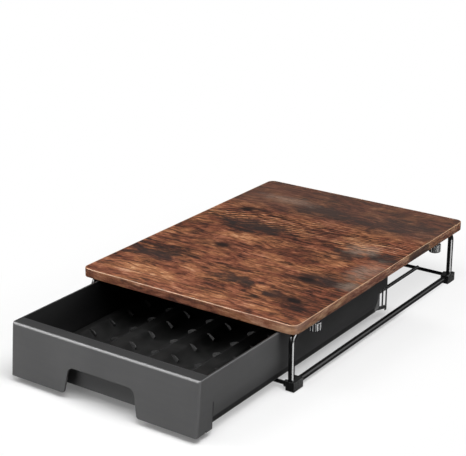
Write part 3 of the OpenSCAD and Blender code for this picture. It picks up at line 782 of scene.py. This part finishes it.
def sideProfile():
    # Half width and height, from the bottom's middle out, up the outside, over the rim and down the
    # inside to the floor. The tuck's circle has R = (h^2 + t^2) / 2t for its height h and depth t; the
    # lower edge is a small circle that touches it and the bottom, and so is the inside's, a wall in.
    wall, rim, tuck = drawer["wall"], drawer["rimRadius"], drawer["tuck"]
    hold, ease = drawer["hold"], drawer["ease"]
    low, inLow = drawer["bottomRadius"], drawer["floorRadius"]
    height = bandZ - bottomZ
    big = (height ** 2 + tuck ** 2) / (2 * tuck)
    bigX, inner, floorZ = halfWidth - big, halfWidth - wall, bottomZ + wall

    def lowerEdge(radius, depth):
        # the small circle's middle x, and the angle where it touches the tuck's circle less the depth
        across = math.sqrt((big - depth - radius) ** 2 - (height - depth - radius) ** 2)
        return bigX + across, math.degrees(math.atan2(radius + depth - height, across))
    lowX, touch = lowerEdge(low, 0)
    inX, inTouch = lowerEdge(inLow, wall)
    outside = [[(lowX - 4 * low, bottomZ)], arc((lowX, bottomZ + low), low, -90, touch, 7),
               arc((bigX, bandZ), big, touch, 0, 12)[1:], [(halfWidth, rimZ - rim - hold)],
               arc((halfWidth - rim, rimZ - rim), rim, 0, 90, 7)]
    inside = [arc((inner + ease, rimZ - ease), ease, 90, 180, 4), [(inner, bandZ + hold)],
              arc((bigX, bandZ), big - wall, 0, inTouch, 10),
              arc((inX, floorZ + inLow), inLow, inTouch, -90, 5)[1:], [(inX - 4 * inLow, floorZ)]]
    return np.concatenate(outside), np.concatenate(inside)


def gripWallY(z):
    # the box's front wall leans out towards its lower edge
    slope = drawer["gripWallLean"] / (rimZ - bottomZ)
    return frontY + drawer["gripDepth"] - (rimZ - z) * slope


def traySkin():
    # A stack of rounded rectangles: each point of the side profile gives one ring its half width and
    # height; its front and back follow the end walls, drawn in a little at the rim and the lower edge.
    wall, ease, lap = drawer["wall"], drawer["ease"], drawer["lap"]
    rings = []
    for profile, thick, radius in zip(sideProfile(), (0, wall), (1.5 * ease, 3 * ease)):
        half, z = profile[:, 0] - 2 * lap, profile[:, 1] - lap
        drawn = np.clip(half.max() - half, 0, drawer["rimRadius"]) * (z > bandZ)
        lower = np.clip(ease - (z - z.min()), 0, ease)
        drawn = drawn + ease - np.sqrt(ease ** 2 - lower ** 2)
        if thick:
            drawn = drawn * np.where(z > bandZ, -1, 1)
        front, back = gripWallY(z) + thick + drawn, trayBackY - thick - drawn
        middle, deep = (front + back) / 2, (back - front) / 2
        rings += [outline((0, middle[i]), half[i], deep[i], radius, z[i]) for i in range(len(z))]
    return skin(np.array(rings))


def notchEdge():
    # x, z and the way into the wall (x, z) along the front's lower edge from its middle to the right:
    # level, a quarter turn of the notch's upper corner, down its slanted side, round the foot, level
    upper, foot, height = drawer["notchRadius"], drawer["notchFootRadius"], drawer["notchHeight"]
    slant = math.atan(drawer["notchTaper"] / 2 / height)

    def middleX(radius, rise):
        return drawer["notchWidth"] / 2 - rise * math.tan(slant) - radius / math.cos(slant)
    upperX, footX = middleX(upper, height - upper), middleX(-foot, foot)
    turn = np.linspace(math.pi / 2, slant, 10)
    back = np.linspace(math.pi + slant, 1.5 * math.pi, 8)
    level = np.linspace(0, 0.85, 6) * upperX
    outer = np.linspace(footX + foot, halfWidth - drawer["edgeRadius"], 7)[1:-1]
    x = np.concatenate([level, upperX + upper * np.cos(turn), footX + foot * np.cos(back), outer])
    z = skirtZ + np.concatenate([np.full(6, height), height - upper + upper * np.sin(turn),
                                 foot + foot * np.sin(back), np.zeros(5)])
    wayX = np.concatenate([np.zeros(6), np.cos(turn), -np.cos(back), np.zeros(5)])
    wayZ = np.concatenate([np.ones(6), np.sin(turn), -np.sin(back), np.ones(5)])
    return x, z, wayX, wayZ


def frontSkin():
    # The front's hollow cap: columns go once round its plan (front, corner, side, back, side, corner),
    # rows go from the top over the rounded edge, down the outside, round the lower edge and up inside.
    # The front face leans by an angle a: y = y0 - (top - z) tan a; the sides draw in below the band.
    wall, ease, hold = drawer["wall"], drawer["ease"], drawer["hold"]
    edge, rim, half = drawer["edgeRadius"], drawer["rimRadius"], halfWidth
    backY = gripWallY(rimZ) + wall - drawer["lap"]
    # plan columns: x, y, outward way, lower edge's z and the way into the wall from it
    edgeX, edgeZ, wayX, wayZ = notchEdge()
    corner, rear = np.linspace(-math.pi / 2, 0, 9), np.linspace(0, math.pi / 2, 4)
    sideY = np.linspace(frontY + edge, backY - rim, 5)[1:-1]
    level = np.zeros(len(edgeX))
    x = np.concatenate([edgeX, half - edge + edge * np.cos(corner), np.full(3, half),
                        half - rim + rim * np.cos(rear)])
    y = np.concatenate([level + frontY, frontY + edge + edge * np.sin(corner), sideY,
                        backY - rim + rim * np.sin(rear)])
    outX = np.concatenate([level, np.cos(corner), np.ones(3), np.cos(rear)])
    outY = np.concatenate([level - 1, np.sin(corner), np.zeros(3), np.sin(rear)])
    lowest = np.concatenate([edgeZ, np.full(len(corner) + 3, skirtZ),
                             np.full(len(rear), bottomZ + ease)])
    upright = np.zeros(len(x) - len(edgeX))
    wayX, wayZ = np.concatenate([wayX, upright]), np.concatenate([wayZ, upright + 1])
    mirror = np.arange(len(x) - 1, 0, -1)
    x, outX, wayX = (np.concatenate([part, -part[mirror]]) for part in (x, outX, wayX))
    y, outY, wayZ, lowest = (np.concatenate([part, part[mirror]]) for part in (y, outY, wayZ, lowest))
    isFront = np.clip((backY - rim - y) / (backY - rim - frontY - edge), 0, 1)
    facesFront = np.clip(-outY, 0, 1)
    slope = drawer["lean"] / (rimZ - skirtZ)
    lean = math.atan(slope) * facesFront
    bend = rim + (edge - rim) * facesFront
    middle = bend * (1 / np.cos(lean) - np.tan(lean))

    def spot(inset, z, shiftX=0.0):
        # a column's place at height z, moved in by inset
        faceY, wallY = (z - rimZ) * slope, gripWallY(z) - gripWallY(rimZ)
        below = np.clip((bandZ - z) / (bandZ - skirtZ), 0, 1) * drawer["draft"]
        return spread(x + shiftX - outX * inset - np.sign(x) * np.abs(outX) * below,
                      y - outY * inset + isFront * faceY + (1 - isFront) * wallY, z)

    rows = [spot(middle + hold, rimZ)]
    for share in np.linspace(1, 0, 9):
        angle = (math.pi / 2 + lean) * share - lean
        row = spot(middle - bend * np.cos(angle), rimZ)
        row[:, 2] = rimZ - bend + bend * np.sin(angle)
        rows.append(row)
    start = rimZ - bend - bend * np.sin(lean) - hold
    shift, edgeTop = (ease + hold) * wayX, lowest + (ease + hold) * wayZ
    for share in (0.0, 0.33, 0.67, 1.0):
        rows.append(spot(0, start + (edgeTop - start) * share, shift))
    for face, way, degrees in ((0, 1, (0, 30, 60, 90)), (wall, -1, (90, 60, 30, 0))):
        for turn in np.radians(degrees):
            away = ease * (1 - math.sin(turn))
            inset = face + way * ease * (1 - math.cos(turn))
            rows.append(spot(inset, lowest + away * wayZ, away * wayX))
    ceiling = rimZ - wall
    for share in (0.0, 0.5, 1.0):
        rows.append(spot(wall, edgeTop + (ceiling - ease - edgeTop) * share, shift))
    rows.append(spot(wall + ease, ceiling))
    return skin(np.array(rows))


def blockSkin(low, high, ease):
    # an upright block with eased edges: rounded rectangles, drawn in at both ends
    middle = (low + high) / 2
    halfX, halfY = (high - low)[:2] / 2
    return skin(np.array([
        outline(middle, halfX - drawn, halfY - drawn, max(ease - drawn, drawer["lap"]), z, perCorner=4)
        for drawn, z in easedEnds(low[2], high[2], ease)]))


def plateSkin(shape, axis, start, end, ease):
    # A shape (counterclockwise, in the other two axes) carried along axis 0, 1 or 2 with eased edges;
    # a corner is drawn in along the sum of its sides' inward ways over 1 + their dot product.
    points = np.array(shape)
    sides = np.roll(points, -1, axis=0) - points
    inward = np.stack([-sides[:, 1], sides[:, 0]], -1) / np.linalg.norm(sides, axis=1)[:, None]
    before = np.roll(inward, 1, axis=0)
    way = (before + inward) / (1 + (before * inward).sum(axis=1))[:, None]
    return skin(np.array([np.insert(points + way * drawn, axis, place, axis=1)
                          for drawn, place in easedEnds(start, end, ease)]))


def returnSkins():
    # the front's side walls behind the cap: upright along the band, drawn in below it
    wall, draft, lap, ease = drawer["wall"], drawer["draft"], drawer["lap"], drawer["ease"]
    outer, top = halfWidth - lap, rimZ - drawer["returnUnderRim"]
    inner = halfWidth - wall
    shape = [(inner - draft, skirtZ), (outer - draft, skirtZ), (outer, bandZ), (outer, top),
             (inner, top), (inner, bandZ)]
    return [plateSkin([(side * x, z) for x, z in shape[::side]], 1, gripWallY(rimZ) - wall,
                      frontY + drawer["returnLength"], ease) for side in (-1, 1)]


cheek = {"wall": 1.6 * mm, "bars": 3, "bar": 2.5 * mm, "sill": 5 * mm, "rise": 4 * mm,
         "fair": 12 * mm, "nibLength": 4 * mm, "nibAboveSkirt": 1.0 * mm, "ease": 0.35 * mm,
         "intoBand": 2 * mm, "fairIntoBand": 1 * mm}


def cheekSkins():
    # behind the tray each side runs on as a thin cheek: a band above, three bars with two slots between
    # them, a sill that falls to the stop nib, and a fillet where the side's curve fades into the cheek
    lap, bar, ease, sill = drawer["lap"], cheek["bar"], cheek["ease"], cheek["sill"]
    length, endY, nib = drawer["cheekLength"], trayHigh.y, cheek["nibLength"]
    pitch = (length - bar) / (cheek["bars"] - 1)

    def lowZ(away):
        return bottomZ + cheek["rise"] * (1 - away / (length - nib))
    skins = []
    for side in (-1, 1):
        def plate(depth, shape):
            # between the cheek's two faces, each drawn in by some laps
            faces = side * (halfWidth - depth * lap), side * (halfWidth - cheek["wall"] + depth * lap)
            skins.append(plateSkin(shape, 0, min(faces), max(faces), ease))
        near, far = sorted((side * halfWidth, side * (halfWidth - cheek["wall"])))
        skins.append(blockSkin(np.array([near, trayBackY - drawer["wall"], bandZ]),
                               np.array([far, endY, rimZ - lap]), ease))
        y0, y1 = trayBackY - 2 * lap, endY - lap
        plate(1, [(y0, lowZ(0)), (y1, lowZ(length)), (y1, lowZ(length) + sill), (y0, lowZ(0) + sill)])
        barTop = bandZ + cheek["intoBand"]
        for away in np.arange(cheek["bars"]) * pitch:
            y = trayBackY + away
            plate(2, [(y, lowZ(away) + lap), (y + bar, lowZ(away + bar) + lap),
                      (y + bar, barTop), (y, barTop)])
        y0, y1 = endY - nib, endY - 2 * lap
        nibZ, nibTop = skirtZ + cheek["nibAboveSkirt"], bottomZ + sill
        plate(3, [(y0, nibZ), (y1, nibZ), (y1, nibTop), (y0, nibTop)])
        inner, outer = side * (halfWidth - drawer["tuck"]), side * (halfWidth - 4 * lap)
        y1 = trayBackY + bar - lap
        plan = [(inner, trayBackY - cheek["fair"]), (outer, trayBackY), (outer, y1), (inner, y1)]
        skins.append(plateSkin(plan[::side], 2, lowZ(0) + lap, bandZ + cheek["fairIntoBand"], ease))
    return skins


runner = {"width": 2 * mm, "play": 0.6 * mm, "clear": 0.4 * mm, "intoTray": 1 * mm, "ease": 0.4 * mm}


def runnerSkins():
    # two low ribs under the tray beside each slide rod
    rodLow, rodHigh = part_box("right_slide_rod")
    rodX, rodRadius = (rodLow.x + rodHigh.x) / 2, (rodHigh.z - rodLow.z) / 2
    width, inset = runner["width"], drawer["returnLength"]
    low = np.array([-width / 2, frontY + inset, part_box("front_cross_rod")[1].z + runner["clear"]])
    high = np.array([width / 2, trayBackY - inset, bottomZ + runner["intoTray"]])
    skins = []
    for side in (-1, 1):
        for edge in (-1, 1):
            shift = np.array([side * rodX + edge * (rodRadius + runner["play"] + width / 2), 0, 0])
            skins.append(blockSkin(low + shift, high + shift, runner["ease"]))
    return skins


tray = makePiece("drawer_tray_moulded",
                 [traySkin(), frontSkin()] + returnSkins() + cheekSkins() + runnerSkins(),
                 "drawer", "drawer_plastic", ["drawer_tray"], smoothUpTo=40)
# the large flat faces set the normals at their small rounded edges
tray.modifiers.new("even_shading", "WEIGHTED_NORMAL").keep_sharp = True


rack = {"wall": 1.6 * mm, "lanes": 4, "podRadius": 31 * mm, "play": 1 * mm, "perLane": 24,
        "endEase": 0.3 * mm, "pitch": 38 * mm, "lean": 20, "restHeight": 4 * mm,
        "restThickness": 1.6 * mm, "restGap": 24 * mm, "restSink": 0.8 * mm,
        "restToRidge": 0.2 * mm, "restUnderTop": 0.05 * mm}
rackLow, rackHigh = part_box("pod_rack")
lane = (rackHigh.x - rackLow.x) / rack["lanes"]
troughRadius = rack["podRadius"] + rack["play"]
troughZ = rackLow.z + rack["wall"] + troughRadius


def rackSkin():
    # Cross section: in each lane the sheet follows z = c - sqrt(R^2 - x^2) about the lane's middle, cut
    # level at the ridges; the underside is the same circle, one wall larger. Rings run along Y.
    wall, ease, length = rack["wall"], rack["endEase"], rackHigh.y - rackLow.y
    across = np.linspace(-lane / 2, lane / 2, rack["perLane"], endpoint=False)
    x = (rackLow.x + lane * (np.arange(rack["lanes"])[:, None] + 0.5) + across).ravel()
    x = np.append(x, rackHigh.x)
    fromMiddle = (x - rackLow.x) % lane - lane / 2
    fromMiddle[-1] = lane / 2

    def trough(radius, highest):
        return np.minimum(troughZ - np.sqrt(np.clip(radius ** 2 - fromMiddle ** 2, 0, None)), highest)
    top, under = trough(troughRadius, rackHigh.z), trough(troughRadius + wall, rackHigh.z - wall)
    under = np.where(np.abs(x) > rackHigh.x - wall, rackLow.z, under)
    section = np.concatenate([np.stack([x, top], -1), np.stack([x, under], -1)[::-1]])
    stations = rackLow.y + np.concatenate([[0, ease], np.linspace(0.02, 0.98, 12) * length,
                                           [length - ease, length]])
    return skin(spread(section[:, 0], stations[:, None], section[:, 1]))


def restSkins():
    # Leaning fins at both sides of each trough: a small rounded section carried along the trough's
    # circle from near its middle to its ridge, between the sheet and a circle that is a rest lower
    thick, inner = rack["restThickness"], troughRadius - rack["restHeight"]
    ease, sunk = thick / 4, troughRadius + rack["restSink"]
    lean = math.tan(math.radians(rack["lean"]))
    start = math.asin(rack["restGap"] / 2 / inner)
    end = math.asin(min((lane / 2 - rack["restToRidge"]) / troughRadius, 1))
    angle = np.linspace(start, end, 7)[:, None]
    # section: distance from the circle's middle, and y; eased at the inner edge
    away, along = np.array([(sunk, 0), (inner + ease, 0), (inner, ease), (inner, thick - ease),
                            (inner + ease, thick), (sunk, thick)]).T
    across = away * np.sin(angle)
    z = np.minimum(troughZ - away * np.cos(angle), rackHigh.z - rack["restUnderTop"])
    along = along + (z - rackLow.z) * lean
    rows = int((rackHigh.y - rackLow.y) / rack["pitch"])
    skins = []
    for i in range(rack["lanes"]):
        for j in range(rows):
            x = rackLow.x + lane * (i + 0.5)
            y = (rackLow.y + rackHigh.y) / 2 + (j + 0.5 - rows / 2) * rack["pitch"]
            skins += [skin(spread(x + side * across, y + along, z)) for side in (-1, 1)]
    return skins


makePiece("pod_rack_moulded", [rackSkin()] + restSkins(), "drawer", "rack_plastic", ["pod_rack"],
          smoothUpTo=35)
print("drawer made")

# nodes that show as they are, with their finish
for node, slotName in (("top_board", "wood"), ("threaded_inserts", "brass")):
    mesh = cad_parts[node].data
    mesh.materials.clear()
    mesh.materials.append(finishes[slotName])


studio = {
    # how bright the world is for matt surfaces and for mirrored light
    "worldLevel": 0.104, "mirroredLevel": 0.096,
    # the floor's size, its paint, and how bright it is for light that bounces off it
    "floorSize": 14.0, "floorWhite": 0.96, "floorBounce": 0.06,
    # how much of its own white it shows beside the drawer and under the board, and the distance at
    # which it is all white
    "floorGlow": 0.12, "rearGlow": 0.74, "floorFade": 0.22,
    # place, point aimed at, width, height, brightness, whether it lights matt surfaces too
    "lamps": {
        "key_left": ((-1.35, -1.25, 2.15), (0.0, -0.1, 0.05), 1.1, 1.1, 3.4, True),
        "overhead": ((0.85, -0.5, 2.4), (0.0, 0.0, 0.0), 2.0, 1.8, 5.4, True),
        "front_low": ((-0.7, -2.8, 0.9), (0.0, -0.3, 0.05), 1.6, 1.2, 2.9, True),
        "edge_line": ((-1.35, -1.25, 2.1), (0.0, -0.3, 0.08), 2.1, 3.6, 14.0, False),
        "low_strip": ((2.3, -0.50, -1.0), (0.1, -0.13, -0.1), 2.1, 1.15, 12.0, False),
        "bend_strip": ((2.3, 0.25, 0.50), (0.15, -0.1, 0.1), 2.6, 1.2, 11.0, False),
        "rail_stripe": ((1.25, 1.65, 1.05), (0.154, 0.08, 0.2), 0.9, 1.7, 1.2, False),
    },
}


def makeLamp(name, place, target, width, height, brightness, lightsMatt):
    # brightness is the lamp face's own, so its power is that times pi times its area
    lamp = bpy.data.lights.new(name, "AREA")
    lamp.shape = "RECTANGLE"
    lamp.size, lamp.size_y = width, height
    lamp.energy = brightness * math.pi * width * height
    holder = bpy.data.objects.new(name, lamp)
    holder.location = place
    holder.rotation_euler = (Vector(target) - Vector(place)).to_track_quat("-Z", "Y").to_euler()
    holder.visible_camera = False
    holder.visible_diffuse = lightsMatt
    bpy.context.scene.collection.objects.link(holder)


def makeFloor():
    # white to the camera, a weaker bounce for matt surfaces, and clear for mirrored rays, so that the
    # tubes mirror the lamps below the horizon as they would over a dark table
    half = studio["floorSize"] / 2
    mesh = bpy.data.meshes.new("studio_floor")
    mesh.from_pydata([(-half, -half, 0), (half, -half, 0), (half, half, 0), (-half, half, 0)],
                     [], [(0, 1, 2, 3)])
    floor = bpy.data.objects.new("studio_floor", mesh)
    bpy.context.scene.collection.objects.link(floor)
    finish = Finish("studio_floor_white")
    x, y, z = finish.split(finish.place())
    beyondX, beyondY = (abs(x) - cadHigh.x).orMore(0.0), (abs(y) - cadHigh.y).orMore(0.0)
    away = (beyondX * beyondX + beyondY * beyondY) ** 0.5
    # how deep the shade is: most under the drawer's front, less under its right side and beside it
    behind = finish.fade(y, -0.20, -0.02)
    rightSide = finish.fade(x, 0.080, 0.120) * finish.fade(y, -0.290, -0.250)
    dim = (1.0 - behind) * (1.0 - rightSide * 0.5) + behind * finish.fade(y, 0.17, 0.12) * 0.55
    near = dim * (studio["floorGlow"] - studio["rearGlow"]) + studio["rearGlow"]
    own = finish.fade(away, 0.0, studio["floorFade"]) * (1 - near) + near
    seen = finish.node("ShaderNodeLightPath", output="Is Camera Ray")
    mirrored = finish.node("ShaderNodeLightPath", output="Is Glossy Ray")
    bounce, white = even(studio["floorBounce"]), even(studio["floorWhite"])
    paint = finish.node("ShaderNodeBsdfDiffuse", None, {"Color": finish.mix(seen, bounce, white)})
    glow = finish.node("ShaderNodeEmission", None, {"Strength": 1.0})
    shown = finish.node("ShaderNodeMixShader", None, {0: seen * own, 1: paint, 2: glow})
    clear = finish.node("ShaderNodeBsdfTransparent")
    both = finish.node("ShaderNodeMixShader", None, {0: mirrored, 1: shown, 2: clear})
    finish.node("ShaderNodeOutputMaterial", None, {"Surface": both})
    mesh.materials.append(finish.owner)
    floor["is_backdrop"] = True


def makeWorld():
    # white to the camera, weak for everything else
    finish = Finish("studio", bpy.data.worlds)
    bpy.context.scene.world = finish.owner
    seen = finish.node("ShaderNodeLightPath", output="Is Camera Ray")
    mirrored = finish.node("ShaderNodeLightPath", output="Is Glossy Ray")
    level = mirrored * (studio["mirroredLevel"] - studio["worldLevel"]) + studio["worldLevel"]
    sky = finish.node("ShaderNodeBackground", None,
                      {"Color": even(1.0), "Strength": seen * (1 - level) + level})
    finish.node("ShaderNodeOutputWorld", None, {"Surface": sky})


view = {"place": (0.9098, -1.3388, 0.7286), "turn": 34.9, "down": 20.1,
        "focalPixels": 1314.5, "imageWidth": 466, "sensor": 36.0}


def makeCamera():
    # the lens comes from the focal length in image pixels: lens = sensor * focal / width
    turn, down = math.radians(view["turn"]), math.radians(view["down"])
    ahead = Vector((-math.sin(turn) * math.cos(down), math.cos(turn) * math.cos(down), -math.sin(down)))
    lens = bpy.data.cameras.new("camera")
    lens.sensor_width = view["sensor"]
    lens.lens = view["sensor"] * view["focalPixels"] / view["imageWidth"]
    camera = bpy.data.objects.new("camera", lens)
    camera.location = view["place"]
    camera.rotation_euler = ahead.to_track_quat("-Z", "Y").to_euler()
    bpy.context.scene.collection.objects.link(camera)
    bpy.context.scene.camera = camera


for name, settings in studio["lamps"].items():
    makeLamp(name, *settings)
makeFloor()
makeWorld()
makeCamera()
bpy.context.scene.view_settings.view_transform = "Standard"
print("studio ready")

low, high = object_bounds()
